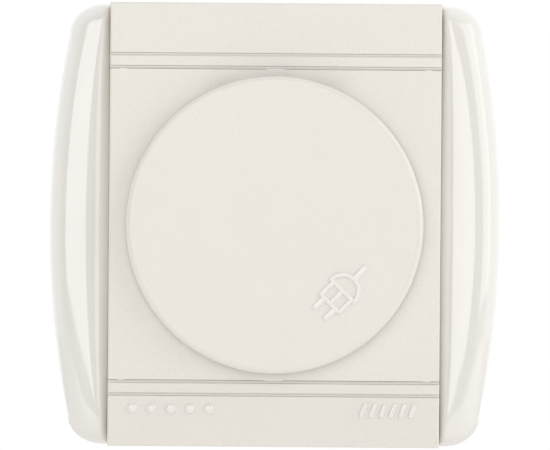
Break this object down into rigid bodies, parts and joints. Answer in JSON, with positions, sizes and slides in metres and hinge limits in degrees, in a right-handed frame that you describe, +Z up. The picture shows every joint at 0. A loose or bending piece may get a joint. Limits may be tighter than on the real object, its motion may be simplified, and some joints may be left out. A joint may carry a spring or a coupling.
{
  "type": "recessed socket outlet with lid",
  "caption": "Recessed wall socket outlet with a sprung round lid, a square cover with bowed glossy sides, and spreading claws.",
  "frame": {"origin": "on the socket's axis, in the plane of the wall's face that the frame's rim rests on", "axes": "+X right, +Y into the wall, +Z up; the cover faces -Y"},
  "size_m": [0.0826, 0.0448, 0.0812],
  "materials": {
    "satin_shell": "satin moulded ivory",
    "gloss_side": "high gloss moulded ivory",
    "bright_steel": "ground",
    "spring_steel": "drawn wire and strip",
    "zinc_steel": "zinc plated",
    "housing_grey": "moulded light grey thermoset",
    "insulator_white": "moulded white thermoset",
    "brass": "stamped",
    "nickel_brass": "nickel plated brass strip"
  },
  "bodies": {
    "socket": {"frame": "satin_shell", "side_cover_left": "gloss_side", "side_cover_right": "gloss_side", "centre_plate": "satin_shell", "lid_hinge_pin": "bright_steel", "support_strap": "zinc_steel", "strap_rivets": "zinc_steel", "socket_base": "housing_grey", "contact_cover": "insulator_white", "contact_live": "brass", "contact_clip_live": "spring_steel", "contact_neutral": "brass", "contact_clip_neutral": "spring_steel", "earth_bow": "nickel_brass", "claw_pin_left": "bright_steel", "claw_pin_right": "bright_steel", "centre_screw": "zinc_steel", "centre_bush": "brass"},
    "lid": {"lid": "satin_shell", "lid_spring": "spring_steel"},
    "clamp_live": {"clamp_plate_live": "zinc_steel"},
    "terminal_screw_live": {"terminal_screw_live": "zinc_steel"},
    "clamp_neutral": {"clamp_plate_neutral": "zinc_steel"},
    "terminal_screw_neutral": {"terminal_screw_neutral": "zinc_steel"},
    "clamp_earth": {"clamp_plate_earth": "zinc_steel"},
    "terminal_screw_earth": {"terminal_screw_earth": "zinc_steel"},
    "claw_left": {"claw_left": "zinc_steel"},
    "claw_nut_left": {"claw_nut_left": "zinc_steel"},
    "claw_screw_left": {"claw_screw_left": "zinc_steel"},
    "claw_right": {"claw_right": "zinc_steel"},
    "claw_nut_right": {"claw_nut_right": "zinc_steel"},
    "claw_screw_right": {"claw_screw_right": "zinc_steel"}
  },
  "joints": [
    {"name": "lid_hinge", "type": "hinge", "parent": "socket", "child": "lid", "pos_m": [0, -0.0124, 0.0246], "axis": [-1, 0, 0], "range_deg": [0, 95], "stiffness_Nm_per_rad": 0.004, "springref_deg": -34.38, "deforming": ["lid_spring"]},
    {"name": "clamp_live_slide", "type": "slide", "parent": "socket", "child": "clamp_live", "axis": [0, 1, 0], "range_m": [0, 0.0019]},
    {"name": "terminal_screw_live_turn", "type": "hinge", "parent": "clamp_live", "child": "terminal_screw_live", "pos_m": [0.0095, 0.015, -0.013], "axis": [0, 1, 0], "range_deg": [0, 977.6]},
    {"name": "clamp_neutral_slide", "type": "slide", "parent": "socket", "child": "clamp_neutral", "axis": [0, 1, 0], "range_m": [0, 0.0019]},
    {"name": "terminal_screw_neutral_turn", "type": "hinge", "parent": "clamp_neutral", "child": "terminal_screw_neutral", "pos_m": [-0.0095, 0.015, -0.013], "axis": [0, 1, 0], "range_deg": [0, 977.6]},
    {"name": "clamp_earth_slide", "type": "slide", "parent": "socket", "child": "clamp_earth", "axis": [0, 1, 0], "range_m": [0, 0.0019]},
    {"name": "terminal_screw_earth_turn", "type": "hinge", "parent": "clamp_earth", "child": "terminal_screw_earth", "pos_m": [0.0095, 0.015, 0.013], "axis": [0, 1, 0], "range_deg": [0, 977.6]},
    {"name": "claw_screw_left_turn", "type": "hinge", "parent": "socket", "child": "claw_screw_left", "pos_m": [-0.0239, 0, 0], "axis": [0, 1, 0], "range_deg": [0, 1224.5]},
    {"name": "claw_nut_left_slide", "type": "slide", "parent": "socket", "child": "claw_nut_left", "axis": [0, -1, 0], "range_m": [0, 0.00272]},
    {"name": "claw_left_swing", "type": "hinge", "parent": "socket", "child": "claw_left", "pos_m": [-0.0179, 0.0117, 0], "axis": [0, 0, 1], "range_deg": [0, 27]},
    {"name": "claw_screw_right_turn", "type": "hinge", "parent": "socket", "child": "claw_screw_right", "pos_m": [0.0239, 0, 0], "axis": [0, 1, 0], "range_deg": [0, 1224.5]},
    {"name": "claw_nut_right_slide", "type": "slide", "parent": "socket", "child": "claw_nut_right", "axis": [0, -1, 0], "range_m": [0, 0.00272]},
    {"name": "claw_right_swing", "type": "hinge", "parent": "socket", "child": "claw_right", "pos_m": [0.0179, 0.0117, 0], "axis": [0, 0, -1], "range_deg": [0, 27]}
  ],
  "couplings": [
    {"joint": "terminal_screw_live_turn", "follows": "clamp_live_slide", "rad_per_m": 8976},
    {"joint": "terminal_screw_neutral_turn", "follows": "clamp_neutral_slide", "rad_per_m": 8976},
    {"joint": "terminal_screw_earth_turn", "follows": "clamp_earth_slide", "rad_per_m": 8976},
    {"joint": "claw_screw_left_turn", "follows": "claw_nut_left_slide", "rad_per_m": 7854},
    {"joint": "claw_left_swing", "follows": "claw_nut_left_slide", "rad_per_m": 173.19},
    {"joint": "claw_screw_right_turn", "follows": "claw_nut_right_slide", "rad_per_m": 7854},
    {"joint": "claw_right_swing", "follows": "claw_nut_right_slide", "rad_per_m": 173.19}
  ]
}
